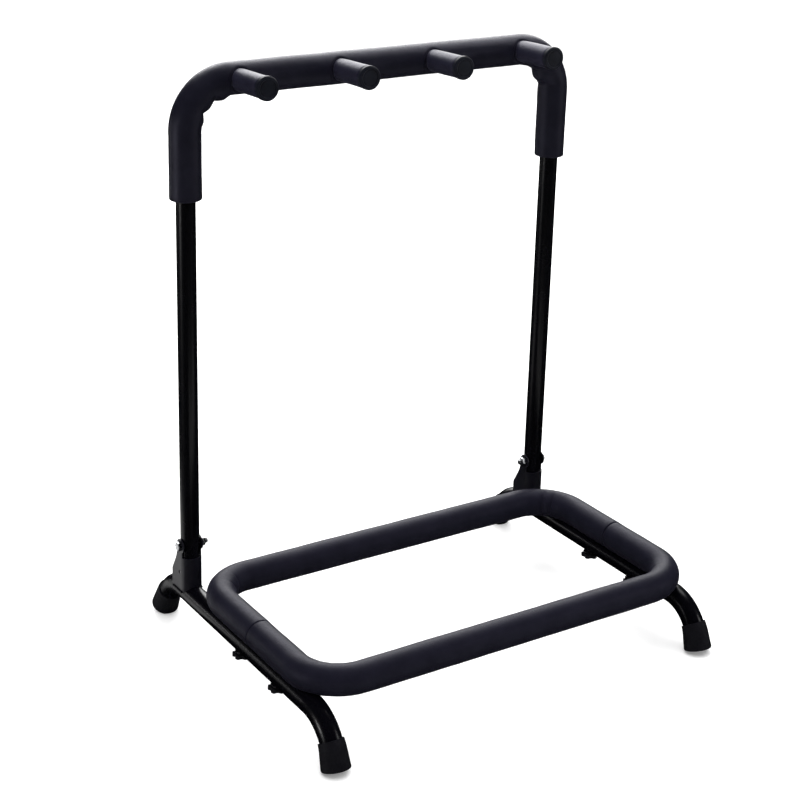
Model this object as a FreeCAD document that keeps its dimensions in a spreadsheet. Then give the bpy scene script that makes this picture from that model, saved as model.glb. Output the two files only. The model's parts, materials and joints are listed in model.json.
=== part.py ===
"""Folding floor rack for three guitars.

A tubular base stands on four rubber feet. Two U-shaped padded tubes lie on its side rails, end to
end, and make the rectangle that the guitars stand on; four knobs clamp them from below. A padded
neck frame with four pegs is hinged to brackets on the rails and folds forward over the base.

Millimetres, +Z up, -Y to the front; left (-X) and right (+X) are as seen from the front. The
origin is on the floor under the middle of the footprint.
"""
import FreeCAD, Part
import math
import os

import Sketcher

V = FreeCAD.Vector
UP = V(0, 0, 1)
FULL_TURN = 360
TOUCH = 1e-3

# Driving dimensions: sheet alias, value, what it is.
DIMENSIONS = [
    ("half_width", 246, "centre plane to an upright, a rail and a side of the padded base"),
    ("upright_y", 132.4, "uprights behind the middle of the footprint"),
    ("pivot_height", 116, "floor to the hinge bolts"),
    ("bar_height", 657, "floor to the axis of the neck frame's top bar"),
    ("frame_tube_d", 22, "neck frame tube, outside"),
    ("frame_wall", 1.5, "neck frame tube, wall"),
    ("frame_bend", 53, "neck frame tube, bend radius at its axis"),
    ("frame_end_height", 71, "floor to the lower ends of the uprights"),
    ("neck_foam_d", 36, "foam on the neck frame, outside"),
    ("neck_foam_drop", 131.5, "top bar axis down to the ends of its foam, on average"),
    ("neck_foam_shift", 3.5, "how much lower it ends on the right, and higher on the left"),
    ("rear_bar_gap", 39, "uprights forward to the rear padded bar"),
    ("pad_depth", 260, "rear padded bar to front padded bar, axis to axis"),
    ("pad_height", 79.5, "floor to the axis of the padded base"),
    ("pad_bend", 51, "padded base, corner radius at its axis"),
    ("support_tube_d", 22, "tube inside the padded base, outside"),
    ("support_wall", 1.2, "tube inside the padded base, wall"),
    ("pad_foam_d", 34.5, "foam on the base, outside"),
    ("seam_gap", 0.6, "gap between the front and rear foam at the seams"),
    ("tube_setback", 4, "foam end to tube end at the seams"),
    ("foam_play", 0.05, "foam bore over its tube, on the radius"),
    ("rail_d", 25, "side rail tube, outside"),
    ("rail_wall", 1.5, "side rail tube, wall"),
    ("rail_height", 53.5, "floor to the rail's axis"),
    ("rail_bend", 50, "side rail, bend radius at its axis"),
    ("front_run", 111.9, "seam to the start of the rail's front bend"),
    ("rear_run", 183.6, "seam to the start of the rail's rear bend"),
    ("front_tilt", 19, "front leg, from upright, degrees"),
    ("rear_tilt", 28, "rear leg, from upright, degrees"),
    ("foot_top_d", 28.5, "rubber foot, at its mouth"),
    ("foot_sole_d", 32.5, "rubber foot, at its sole"),
    ("foot_length", 30, "rubber foot, mouth to sole"),
    ("foot_base", 5, "rubber under the tube's end"),
    ("foot_lip", 1, "straight lip at the foot's mouth"),
    ("foot_flat", 1.5, "depth of the flat that the tilted foot stands on"),
    ("foot_edge", 1.2, "rounding of the sole's edge"),
    ("sheet_metal", 1.5, "hinge bracket, sheet thickness"),
    ("bracket_play", 0.3, "bracket cheek to upright, each side"),
    ("web_play", 0.5, "bracket web to the front of the upright"),
    ("web_drop", 14, "hinge bolt down to the top of the bracket's web"),
    ("bracket_foot", 58, "hinge bolt down to the bottom of the cheeks"),
    ("ear_r", 8.5, "bracket ear about the bolt"),
    ("lip_y", 4, "front edge of the cheek above the web, before the bolt"),
    ("waist_drop", 12, "hinge bolt down to the narrowest part of the cheek"),
    ("waist_y", 8, "rear edge of the cheek under the ear"),
    ("heel_y", 21.5, "rear edge of the cheek at the rail"),
    ("heel_drop", 36, "hinge bolt down to the top of the cheek's heel"),
    ("flare_r", 36, "rounding between the waist and the heel"),
    ("heel_r", 5, "rounding of the heel"),
    ("bracket_bend", 10.8, "inner bend radius of the bracket"),
    ("marker_hole_d", 4, "locating hole in the outer cheek"),
    ("marker_y", 2.5, "locating hole behind the bolt"),
    ("marker_drop", 34, "locating hole below the bolt"),
    ("bolt_d", 5.9, "hinge bolt, shank"),
    ("bolt_hole_d", 6, "hole for the hinge bolt in the upright and its bush"),
    ("cheek_hole_d", 6.2, "hole for the hinge bolt in the bracket"),
    ("hex_r", 5.6, "bolt head and nut, centre to corner"),
    ("head_length", 4, "bolt head"),
    ("nut_length", 5.4, "hinge nut"),
    ("hex_bevel", 0.6, "bevel of the bolt head and the nut"),
    ("thread_out", 3.2, "thread past the nut"),
    ("bush_d", 9, "bush in the upright, outside"),
    ("bush_length", 16.6, "bush in the upright"),
    ("plug_flange", 2, "end plug, flange thickness"),
    ("plug_depth", 12, "end plug, depth in the tube"),
    ("plug_play", 0.05, "end plug in its tube, on the radius"),
    ("inner_peg_x", 61.6, "centre plane to an inner peg"),
    ("outer_peg_x", 187, "centre plane to an outer peg"),
    ("peg_tilt", 2, "pegs, upward from level, degrees"),
    ("peg_reach", 77.5, "top bar axis to the face of a peg's cap"),
    ("post_d", 12, "steel post in a peg, outside"),
    ("post_wall", 1.5, "steel post in a peg, wall"),
    ("post_hole_d", 14.4, "hole for a post in the neck frame's foam"),
    ("sleeve_d", 25.5, "foam sleeve on a peg, outside"),
    ("sleeve_gap", 0.4, "root of a peg's sleeve to the neck frame's foam"),
    ("cap_d", 26.8, "peg cap, outside"),
    ("cap_length", 5, "peg cap, length"),
    ("cap_edge", 1.2, "peg cap, edge chamfer"),
    ("cap_dish_d", 20, "dish in the cap's face"),
    ("cap_dish", 0.8, "depth of the dish"),
    ("spigot_length", 14, "peg cap, spigot in the post"),
    ("knob_spread", 41, "seam to a clamping knob"),
    ("knob_d", 22, "clamping knob, over its lobes"),
    ("knob_thick", 5, "clamping knob, lobed part"),
    ("collar_d", 14, "clamping knob, collar"),
    ("collar_length", 1.5, "clamping knob, collar"),
    ("scallop_d", 8, "clamping knob, scallop"),
    ("scallop_r", 12.8, "clamping knob, axis to a scallop's centre"),
    ("knob_edge", 1.2, "clamping knob, edge rounding"),
    ("washer_d", 16, "washer on a clamping knob"),
    ("washer_thick", 1.2, "washer on a clamping knob"),
    ("stud_d", 5.9, "knob stud"),
    ("stud_root", 5, "knob stud, length moulded into the knob"),
    ("stud_bevel", 0.7, "bevel at the tip of the stud"),
    ("stud_top", 76, "floor to the tip of a knob stud"),
    ("stud_hole_d", 6.6, "stud holes in the rails, and the washer's hole"),
    ("insert_d", 9, "threaded insert in a support tube"),
    ("insert_bore_d", 6, "threaded insert, bore"),
    ("insert_low", 67, "floor to the lower end of an insert"),
    ("insert_length", 10, "threaded insert, length"),
    ("foam_hole_d", 11, "hole in the base foam for a stud"),
    ("fit_gap", 0.05, "gap between fitted pieces"),
]
SCALLOPS = 6

doc = FreeCAD.newDocument("guitar_rack")
sheet = doc.addObject("Spreadsheet::Sheet", "dims")
for row, (alias, value, meaning) in enumerate(DIMENSIONS, start=1):
    sheet.set(f"A{row}", meaning)
    sheet.set(f"B{row}", str(value))
    sheet.setAlias(f"B{row}", alias)
doc.recompute()


def size(text):
    """The present value of an expression of the sheet."""
    return float(sheet.evalExpression(text))


# ---- helpers: bodies and sketches -----------------------------------------------------------

def new_body(name):
    body = doc.addObject("PartDesign::Body", name)
    body.Label = name
    return body


def origin_item(body, role):
    return next(item for item in body.Origin.OriginFeatures if item.Role == role)


def put(body, x="0", y="0", z="0", tilt=None):
    """Place a body, tilted about X if asked; every place is a sheet expression."""
    if tilt:
        body.Placement = FreeCAD.Placement(V(), FreeCAD.Rotation(V(1, 0, 0), size(tilt)))
        body.setExpression("Placement.Rotation.Angle", f"({tilt}) * 1 deg")
    for axis, text in zip("xyz", (x, y, z)):
        body.setExpression(f"Placement.Base.{axis}", text)


def new_sketch(body, name, role):
    sketch = body.newObject("Sketcher::SketchObject", name)
    sketch.AttachmentSupport = [(origin_item(body, role), "")]
    sketch.MapMode = "FlatFace"
    return sketch


def raise_sketch(sketch, height):
    """Move a sketch along its plane's normal to a height that follows the sheet."""
    sketch.AttachmentOffset = FreeCAD.Placement(V(0, 0, size(height)), FreeCAD.Rotation())
    sketch.setExpression("AttachmentOffset.Base.z", height)


def lean_sketch(sketch, aside, angle):
    """Shift a level sketch along Y and tip it about X, in degrees; both follow the sheet."""
    offset = sketch.AttachmentOffset
    offset.Base.y = size(aside)
    offset.Rotation = FreeCAD.Rotation(V(1, 0, 0), size(angle))
    sketch.AttachmentOffset = offset
    sketch.setExpression("AttachmentOffset.Base.y", aside)
    sketch.setExpression("AttachmentOffset.Rotation.Angle", f"({angle}) * 1 deg")


def constrain(sketch, text, *terms):
    """Add a dimension whose value follows an expression of the sheet."""
    number = sketch.addConstraint(Sketcher.Constraint(*terms))
    sketch.setExpression(f"Constraints[{number}]", text)


def tie(sketch, item, vertex, spot):
    """Hold a vertex at a spot, given as two expressions, measured from the sketch's origin."""
    for kind, axis, text in (("DistanceX", -2, spot[0]), ("DistanceY", -1, spot[1])):
        value = size(text)
        if value == 0:
            sketch.addConstraint(Sketcher.Constraint("PointOnObject", item, vertex, axis))
        elif value > 0:
            constrain(sketch, text, kind, -1, 1, item, vertex, value)
        else:
            constrain(sketch, f"-({text})", kind, item, vertex, -1, 1, -value)


def circles(body, name, role, radii, spots=(("0", "0"),)):
    """Sketch of circles: every radius at every spot."""
    sketch = new_sketch(body, name, role)
    for spot in spots:
        centre = V(size(spot[0]), size(spot[1]), 0)
        for radius in radii:
            item = sketch.addGeometry(Part.Circle(centre, UP, size(radius)))
            tie(sketch, item, 3, spot)
            constrain(sketch, radius, "Radius", item, size(radius))
    return sketch


def outline(body, name, role, corners):
    """Sketch of a closed outline of straight edges; each corner is two expressions."""
    sketch = new_sketch(body, name, role)
    points = [V(size(x), size(y), 0) for x, y in corners]
    edges = [
        sketch.addGeometry(Part.LineSegment(start, end))
        for start, end in zip(points, points[1:] + points[:1])
    ]
    for before, edge, corner in zip(edges[-1:] + edges[:-1], edges, corners):
        sketch.addConstraint(Sketcher.Constraint("Coincident", before, 2, edge, 1))
        tie(sketch, edge, 1, corner)
    return sketch


def centreline(body, name, role, bend, runs, start="0"):
    """Sketch of a bent tube's axis: straight runs joined by tangent arcs.

    Each run is its length and its heading in degrees; every bend has the same radius. It starts
    at the given place on the sketch's upright axis.
    """
    sketch = new_sketch(body, name, role)
    spot = V(0, size(start), 0)
    last_run = None
    last_heading = None
    for length, heading_text in runs:
        heading = math.radians(size(heading_text))
        if last_run is not None:
            turn = (heading - last_heading + math.pi) % (2 * math.pi) - math.pi
            side = 1 if turn > 0 else -1
            entry = last_heading - side * math.pi / 2
            centre = spot - size(bend) * V(math.cos(entry), math.sin(entry), 0)
            limits = sorted((entry, entry + turn))
            arc = sketch.addGeometry(
                Part.ArcOfCircle(Part.Circle(centre, UP, size(bend)), *limits)
            )
            spot = centre + size(bend) * V(math.cos(entry + turn), math.sin(entry + turn), 0)
            near, far = (1, 2) if side > 0 else (2, 1)
            sketch.addConstraint(Sketcher.Constraint("Tangent", last_run, 2, arc, near))
            constrain(sketch, bend, "Radius", arc, size(bend))
        end = spot + size(length) * V(math.cos(heading), math.sin(heading), 0)
        run = sketch.addGeometry(Part.LineSegment(spot, end))
        constrain(sketch, f"({heading_text}) * 1 deg", "Angle", run, heading)
        constrain(sketch, length, "Distance", run, size(length))
        if last_run is None:
            tie(sketch, run, 1, ("0", start))
        else:
            sketch.addConstraint(Sketcher.Constraint("Tangent", arc, far, run, 1))
        spot, last_run, last_heading = end, run, heading
    return sketch


# ---- helpers: features ----------------------------------------------------------------------

def sweep(body, section, path, last_section=None, kind="Additive"):
    """Sweep a section along a path, changing evenly to a last section if one is given."""
    pipe = body.newObject(f"PartDesign::{kind}Pipe", f"{path.Name}_pipe")
    pipe.Profile = section
    pipe.Spine = path
    if last_section:
        pipe.Transformation = "Multisection"
        pipe.Sections = [last_section]
    return pipe


def mirror(body, feature):
    """Mirror a feature in the body's YZ plane."""
    mirrored = body.newObject("PartDesign::Mirrored", f"{feature.Name}_mirrored")
    mirrored.Originals = [feature]
    mirrored.MirrorPlane = (origin_item(body, "YZ_Plane"), [""])
    body.Tip = mirrored
    return mirrored


def pad(body, sketch, length, symmetric=False, reverse=False):
    feature = body.newObject("PartDesign::Pad", f"{sketch.Name}_pad")
    feature.Profile = sketch
    feature.setExpression("Length", length)
    feature.SideType = "Symmetric" if symmetric else "One side"
    feature.Reversed = reverse
    return feature


def cut_through(body, sketch, symmetric=True, reverse=False):
    """Cut a sketch right through the body, both ways or only to one side of its plane."""
    feature = body.newObject("PartDesign::Pocket", f"{sketch.Name}_cut")
    feature.Profile = sketch
    feature.Type = "ThroughAll"
    feature.SideType = "Symmetric" if symmetric else "One side"
    feature.Reversed = reverse
    return feature


def turned(body, name, corners):
    """Revolve an outline about Z; its corners are radius and height."""
    profile = outline(body, name, "XZ_Plane", corners)
    feature = body.newObject("PartDesign::Revolution", f"{name}_turned")
    feature.Profile = profile
    feature.ReferenceAxis = (profile, ["V_Axis"])
    feature.Angle = FULL_TURN
    return feature


def edges_where(feature, test):
    """Names of a feature's edges whose midpoint passes a test."""
    doc.recompute()
    names = []
    for number, edge in enumerate(feature.Shape.Edges, start=1):
        middle = edge.valueAt((edge.FirstParameter + edge.LastParameter) / 2)
        if test(edge, middle):
            names.append(f"Edge{number}")
    if not names:
        raise RuntimeError(f"no edge to round on {feature.Name}")
    return names


def at_height(*levels):
    """Test for curved edges that lie level at one of some heights."""
    heights = [size(level) for level in levels]

    def test(edge, middle):
        level = min(abs(middle.z - height) for height in heights) < TOUCH
        return level and abs(edge.tangentAt(edge.FirstParameter).z) < TOUCH

    return test


def round_edges(body, feature, radius, test):
    fillet = body.newObject("PartDesign::Fillet", f"{feature.Name}_rounded")
    fillet.Base = (feature, edges_where(feature, test))
    fillet.setExpression("Radius", radius)
    return fillet


def bevel_edges(body, feature, width, test):
    chamfer = body.newObject("PartDesign::Chamfer", f"{feature.Name}_bevelled")
    chamfer.Base = (feature, edges_where(feature, test))
    chamfer.setExpression("Size", width)
    return chamfer


def hexagon(body, name, role, circumradius):
    sketch = new_sketch(body, name, role)
    radius = size(circumradius)
    corners = []
    for k in range(6):
        angle = math.radians(60 * k)
        corners.append(V(radius * math.cos(angle), radius * math.sin(angle), 0))
    sides = [
        sketch.addGeometry(Part.LineSegment(start, end))
        for start, end in zip(corners, corners[1:] + corners[:1])
    ]
    ring = sketch.addGeometry(Part.Circle(V(), UP, radius), True)
    sketch.addConstraint(Sketcher.Constraint("Coincident", ring, 3, -1, 1))
    constrain(sketch, circumradius, "Radius", ring, radius)
    for before, side in zip(sides[-1:] + sides[:-1], sides):
        sketch.addConstraint(Sketcher.Constraint("Coincident", before, 2, side, 1))
        sketch.addConstraint(Sketcher.Constraint("PointOnObject", side, 1, ring))
    for side in sides[1:]:
        sketch.addConstraint(Sketcher.Constraint("Equal", sides[0], side))
    sketch.addConstraint(Sketcher.Constraint("PointOnObject", sides[0], 1, -1))
    return sketch


# ---- places that several pieces share -------------------------------------------------------

SEAM_Y = "(dims.upright_y - dims.rear_bar_gap - dims.pad_depth / 2)"
SIDES = {"left": "-dims.half_width", "right": "dims.half_width"}
ENDS = {"front": -1, "rear": 1}
FRAME_BORE_R = "(dims.frame_tube_d / 2 - dims.frame_wall)"
CHEEK_IN = "(dims.frame_tube_d / 2 + dims.bracket_play)"
CHEEK_OUT = "(dims.frame_tube_d / 2 + dims.bracket_play + dims.sheet_metal)"
PIVOT_FROM_BAR = "dims.pivot_height - dims.bar_height"
BEYOND = "dims.half_width"


def box(x0, y0, x1, y1):
    """Corners of a rectangle."""
    return ((x0, y0), (x1, y0), (x1, y1), (x0, y1))


def sole_height(end):
    """Height of a sole's centre over the floor: the tilted foot stands on its edge."""
    return f"(dims.foot_sole_d / 2 * sin(dims.{end}_tilt * 1 deg) - dims.foot_flat)"


def tube_end_height(end):
    """Height of a leg tube's end over the floor."""
    return f"({sole_height(end)} + dims.foot_base * cos(dims.{end}_tilt * 1 deg))"


def leg_length(end):
    """Straight part of a leg, below its bend."""
    tilt = f"dims.{end}_tilt * 1 deg"
    drop = f"dims.rail_height - dims.rail_bend * (1 - sin({tilt})) - {tube_end_height(end)}"
    return f"(({drop}) / cos({tilt}))"


def sole_reach(end):
    """Distance along Y from the seam to the centre of a sole."""
    tilt = f"dims.{end}_tilt * 1 deg"
    leg = f"({leg_length(end)} + dims.foot_base) * sin({tilt})"
    return f"(dims.{end}_run + dims.rail_bend * cos({tilt}) + {leg})"


# ---- base: rails and feet -------------------------------------------------------------------

def side_rail(side):
    """One tube, bent down at both ends into legs, with four drilled holes for two studs."""
    body = new_body(f"{side}_side_rail")
    radii = ("dims.rail_d / 2", "dims.rail_d / 2 - dims.rail_wall")
    for end, heading, leg_heading in (
        ("front", "180", "270 - dims.front_tilt"),
        ("rear", "0", "dims.rear_tilt - 90"),
    ):
        section = circles(body, f"{side}_{end}_rail_section", "XZ_Plane", radii)
        runs = ((f"dims.{end}_run", heading), (leg_length(end), leg_heading))
        path = centreline(body, f"{side}_{end}_rail_path", "YZ_Plane", "dims.rail_bend", runs)
        sweep(body, section, path)
    holes = circles(
        body,
        f"{side}_rail_holes",
        "XY_Plane",
        ("dims.stud_hole_d / 2",),
        (("0", "dims.knob_spread"), ("0", "-dims.knob_spread")),
    )
    cut_through(body, holes)
    put(body, x=SIDES[side], y=SEAM_Y, z="dims.rail_height")


def foot(end, side):
    """Rubber cap that follows a leg into its bend, with a small flat where it stands.

    Its own frame has Z along the leg and its origin at the middle of the sole.
    """
    name = f"{end}_{side}_foot"
    body = new_body(name)
    slope = ENDS[end]
    straight = f"(dims.foot_base + {leg_length(end)})"
    turn = f"((dims.foot_length - dims.foot_lip - {straight}) / dims.rail_bend * 180 / pi)"
    mouth_heading = f"90 + {slope} * {turn}"

    runs = ((straight, "90"), ("dims.foot_lip", mouth_heading))
    path = centreline(body, f"{name}_path", "YZ_Plane", "dims.rail_bend", runs)
    sole = circles(body, f"{name}_sole", "XY_Plane", ("dims.foot_sole_d / 2",))
    mouth = circles(body, f"{name}_mouth", "XY_Plane", ("dims.foot_top_d / 2",))
    aside = f"dims.rail_bend * (1 - cos({turn} * 1 deg)) + dims.foot_lip * sin({turn} * 1 deg)"
    rise = f"dims.rail_bend * sin({turn} * 1 deg) + dims.foot_lip * cos({turn} * 1 deg)"
    raise_sketch(mouth, f"{straight} + {rise}")
    lean_sketch(mouth, f"{-slope} * ({aside})", f"{slope} * {turn}")
    cap = sweep(body, sole, path, mouth)
    round_edges(body, cap, "dims.foot_edge", at_height("0"))

    tube_end = "(dims.foot_base - dims.fit_gap)"
    bore = circles(body, f"{name}_bore", "XY_Plane", ("dims.rail_d / 2 + dims.fit_gap",))
    raise_sketch(bore, tube_end)
    runs = ((f"{straight} - {tube_end}", "90"), ("dims.foot_length", mouth_heading))
    bore_path = centreline(
        body, f"{name}_bore_path", "YZ_Plane", "dims.rail_bend", runs, start=tube_end
    )
    sweep(body, bore, bore_path, kind="Subtractive")

    # The floor, seen from the tilted foot, is a slope; what is under it is cut away.
    lean = f"dims.{end}_tilt * 1 deg"
    reach = "dims.foot_sole_d"
    level = f"-{sole_height(end)} / cos({lean})"
    climb = f"{slope} * {reach} * tan({lean})"
    below = f"-2 * {reach}"
    floor_cut = outline(
        body,
        f"{name}_floor",
        "YZ_Plane",
        (
            (f"-{reach}", f"{level} + {climb}"),
            (reach, f"{level} - {climb}"),
            (reach, below),
            (f"-{reach}", below),
        ),
    )
    cut_through(body, floor_cut)
    place_y = f"{SEAM_Y} + {slope} * {sole_reach(end)}"
    tilt = f"{slope} * dims.{end}_tilt"
    put(body, x=SIDES[side], y=place_y, z=sole_height(end), tilt=tilt)


# ---- base: padded U tubes -------------------------------------------------------------------

def support_u(end, name, outer, inner, seam_end):
    """Half of the padded base: a U lying flat, its open end at the seams, mirrored in YZ."""
    body = new_body(name)
    section = circles(body, f"{name}_section", "YZ_Plane", (outer, inner))
    runs = (
        ("dims.half_width - dims.pad_bend", "0"),
        (f"dims.pad_depth / 2 - dims.pad_bend - {seam_end}", "90" if end == "front" else "-90"),
    )
    path = centreline(body, f"{name}_path", "XY_Plane", "dims.pad_bend", runs)
    mirror(body, sweep(body, section, path))
    place_y = f"{SEAM_Y} + {ENDS[end]} * dims.pad_depth / 2"
    put(body, y=place_y, z="dims.pad_height")
    return body


def stud_spots(end):
    """Where the knob studs cross a support U, in the U's own frame."""
    along = f"{-ENDS[end]} * (dims.pad_depth / 2 - dims.knob_spread)"
    return (("dims.half_width", along), ("-dims.half_width", along))


def support_tube(end):
    name = f"{end}_support_tube"
    outer = "dims.support_tube_d / 2"
    inner = "dims.support_tube_d / 2 - dims.support_wall"
    body = support_u(end, name, outer, inner, "dims.tube_setback")
    radius = "dims.insert_d / 2 + dims.fit_gap"
    holes = circles(body, f"{name}_holes", "XY_Plane", (radius,), stud_spots(end))
    cut_through(body, holes, symmetric=False)


def support_foam(end):
    """Foam on a support tube: pressed hollow where it lies on the rails."""
    name = f"{end}_support_foam"
    outer = "dims.pad_foam_d / 2"
    inner = "dims.support_tube_d / 2 + dims.foam_play"
    body = support_u(end, name, outer, inner, "dims.seam_gap / 2")
    sunk = "dims.rail_height - dims.pad_height"
    seats = circles(
        body,
        f"{name}_seats",
        "XZ_Plane",
        ("dims.rail_d / 2 + dims.fit_gap",),
        (("dims.half_width", sunk), ("-dims.half_width", sunk)),
    )
    cut_through(body, seats)
    holes = circles(body, f"{name}_holes", "XY_Plane", ("dims.foam_hole_d / 2",), stud_spots(end))
    cut_through(body, holes, symmetric=False)


# ---- base: clamping knobs -------------------------------------------------------------------

def knob_set(end, side):
    """Lobed knob with its stud, the washer over it and the threaded insert it screws into."""
    name = f"{end}_{side}_knob"
    spot = {"x": SIDES[side], "y": f"{SEAM_Y} + {ENDS[end]} * dims.knob_spread"}
    rail_bottom = "(dims.rail_height - dims.rail_d / 2)"
    knob_top = f"({rail_bottom} - dims.fit_gap - dims.washer_thick)"

    knob = new_body(name)
    pad(knob, circles(knob, f"{name}_disc", "XY_Plane", ("dims.knob_d / 2",)), "dims.knob_thick")
    scallop = circles(
        knob, f"{name}_scallop", "XY_Plane", ("dims.scallop_d / 2",), (("dims.scallop_r", "0"),)
    )
    scallop_cut = cut_through(knob, scallop)
    ring = knob.newObject("PartDesign::PolarPattern", f"{name}_scallops")
    ring.Originals = [scallop_cut]
    ring.Axis = (origin_item(knob, "Z_Axis"), [""])
    ring.Angle = FULL_TURN
    ring.Occurrences = SCALLOPS
    knob.Tip = ring
    round_edges(knob, ring, "dims.knob_edge", at_height("0", "dims.knob_thick"))
    collar = circles(knob, f"{name}_collar", "XY_Plane", ("dims.collar_d / 2",))
    collar_top = "(dims.knob_thick + dims.collar_length)"
    pad(knob, collar, collar_top)
    bore = circles(knob, f"{name}_bore", "XY_Plane", ("dims.stud_d / 2 + dims.fit_gap",))
    raise_sketch(bore, f"{collar_top} - dims.stud_root - dims.fit_gap")
    cut_through(knob, bore, symmetric=False, reverse=True)
    put(knob, z=f"{knob_top} - {collar_top}", **spot)

    stud = new_body(f"{name}_stud")
    stud_length = f"(dims.stud_top - {knob_top} + dims.stud_root)"
    rod = circles(stud, f"{name}_stud_section", "XY_Plane", ("dims.stud_d / 2",))
    bevel_edges(stud, pad(stud, rod, stud_length), "dims.stud_bevel", at_height(stud_length))
    put(stud, z=f"{knob_top} - dims.stud_root", **spot)

    washer = new_body(f"{name}_washer")
    radii = ("dims.washer_d / 2", "dims.stud_hole_d / 2")
    pad(washer, circles(washer, f"{name}_washer_section", "XY_Plane", radii), "dims.washer_thick")
    put(washer, z=knob_top, **spot)

    insert = new_body(f"{name}_insert")
    radii = ("dims.insert_d / 2", "dims.insert_bore_d / 2")
    pad(insert, circles(insert, f"{name}_insert_section", "XY_Plane", radii), "dims.insert_length")
    put(insert, z="dims.insert_low", **spot)


# ---- hinges ---------------------------------------------------------------------------------

def hinge_bracket(side):
    """Bent sheet channel on a rail: two eared cheeks and a round web that stops the upright."""
    name = f"{side}_hinge_bracket"
    body = new_body(name)
    web_in = "-(dims.frame_tube_d / 2 + dims.web_play)"
    web_out = "-(dims.frame_tube_d / 2 + dims.web_play + dims.sheet_metal)"

    def bends_at(front):
        """Test for the upright edges along the front of the channel."""
        def test(edge, middle):
            upright = abs(edge.tangentAt(edge.FirstParameter).z) > 1 - TOUCH
            return upright and abs(middle.y - size(front)) < TOUCH
        return test

    def edges_across(y, z):
        """Test for the edges that run across a cheek at a place seen from the side."""
        def test(edge, middle):
            across = abs(edge.tangentAt(edge.FirstParameter).x) > 1 - TOUCH
            return across and math.hypot(middle.y - size(y), middle.z - size(z)) < TOUCH
        return test

    outside = box(f"-{CHEEK_OUT}", web_out, CHEEK_OUT, "dims.heel_y")
    blank = outline(body, f"{name}_blank", "XY_Plane", outside)
    pad(body, blank, "dims.bracket_foot", reverse=True)
    inside = box(f"-{CHEEK_IN}", web_in, CHEEK_IN, BEYOND)
    hollow = cut_through(body, outline(body, f"{name}_channel", "XY_Plane", inside))
    bent = round_edges(body, hollow, "dims.bracket_bend", bends_at(web_in))
    round_edges(body, bent, "dims.bracket_bend + dims.sheet_metal", bends_at(web_out))
    over_web = box(f"-{CHEEK_IN}", "-dims.web_drop", CHEEK_IN, BEYOND)
    cut_through(body, outline(body, f"{name}_over_web", "XZ_Plane", over_web))
    before_lip = box(f"-{BEYOND}", "-dims.web_drop", "-dims.lip_y", BEYOND)
    cut_through(body, outline(body, f"{name}_before_lip", "YZ_Plane", before_lip))
    behind_cheek = (
        ("dims.heel_y", "-dims.heel_drop"),
        ("dims.waist_y", "-dims.waist_drop"),
        ("dims.waist_y", BEYOND),
        ("dims.heel_y", BEYOND),
    )
    trimmed = cut_through(body, outline(body, f"{name}_rear_edge", "YZ_Plane", behind_cheek))
    waist = edges_across("dims.waist_y", "-dims.waist_drop")
    flared = round_edges(body, trimmed, "dims.flare_r", waist)
    heel = edges_across("dims.heel_y", "-dims.heel_drop")
    round_edges(body, flared, "dims.heel_r", heel)
    ear = circles(body, f"{name}_ears", "YZ_Plane", ("dims.ear_r",))
    pad(body, ear, f"2 * {CHEEK_OUT}", symmetric=True)
    between = box(f"-{CHEEK_IN}", "-dims.web_drop", CHEEK_IN, BEYOND)
    cut_through(body, outline(body, f"{name}_between_ears", "XZ_Plane", between))

    saddle_spot = (("0", "dims.rail_height - dims.pivot_height"),)
    radius = "dims.rail_d / 2 + dims.fit_gap"
    cut_through(body, circles(body, f"{name}_saddle", "XZ_Plane", (radius,), saddle_spot))
    cut_through(body, circles(body, f"{name}_bolt_holes", "YZ_Plane", ("dims.cheek_hole_d / 2",)))
    mark_spot = (("dims.marker_y", "-dims.marker_drop"),)
    radius = "dims.marker_hole_d / 2"
    marker = circles(body, f"{name}_marker_hole", "YZ_Plane", (radius,), mark_spot)
    cut_through(body, marker, symmetric=False, reverse=side == "right")
    put(body, x=SIDES[side], y="dims.upright_y", z="dims.pivot_height")


def hex_block(body, name, outward, length):
    """Hexagonal head or nut that bears on one cheek, its outer face bevelled."""
    seat = f"{outward} * ({CHEEK_OUT} + dims.fit_gap)"
    section = hexagon(body, name, "YZ_Plane", "dims.hex_r")
    raise_sketch(section, seat)
    block = pad(body, section, length, reverse=outward < 0)
    face_x = size(f"{seat} + {outward} * {length}")
    bevel_edges(
        body, block, "dims.hex_bevel", lambda edge, middle: abs(middle.x - face_x) < TOUCH
    )
    return seat


def hinge_bolt(side):
    """Hexagon bolt: its head on the outer cheek, its thread past the nut on the inner cheek."""
    name = f"{side}_pivot_bolt"
    body = new_body(name)
    outward = -1 if side == "left" else 1
    seat = hex_block(body, f"{name}_head", outward, "dims.head_length")
    shank = circles(body, f"{name}_shank", "YZ_Plane", ("dims.bolt_d / 2",))
    raise_sketch(shank, seat)
    grip = f"2 * ({CHEEK_OUT} + dims.fit_gap)"
    pad(body, shank, f"{grip} + dims.nut_length + dims.thread_out", reverse=outward > 0)
    put(body, x=SIDES[side], y="dims.upright_y", z="dims.pivot_height")


def hinge_nut(side):
    name = f"{side}_pivot_nut"
    body = new_body(name)
    inward = 1 if side == "left" else -1
    hex_block(body, f"{name}_block", inward, "dims.nut_length")
    cut_through(body, circles(body, f"{name}_bore", "YZ_Plane", ("dims.bolt_hole_d / 2",)))
    put(body, x=SIDES[side], y="dims.upright_y", z="dims.pivot_height")


# ---- neck frame -----------------------------------------------------------------------------

def frame_u(name, outer, inner, drop):
    """Upside-down U from the middle of the top bar down to a given drop, mirrored in YZ."""
    body = new_body(name)
    section = circles(body, f"{name}_section", "YZ_Plane", (outer, inner))
    runs = (("dims.half_width - dims.frame_bend", "0"), (f"{drop} - dims.frame_bend", "-90"))
    path = centreline(body, f"{name}_path", "XZ_Plane", "dims.frame_bend", runs)
    mirror(body, sweep(body, section, path))
    put(body, y="dims.upright_y", z="dims.bar_height")
    return body


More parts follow.
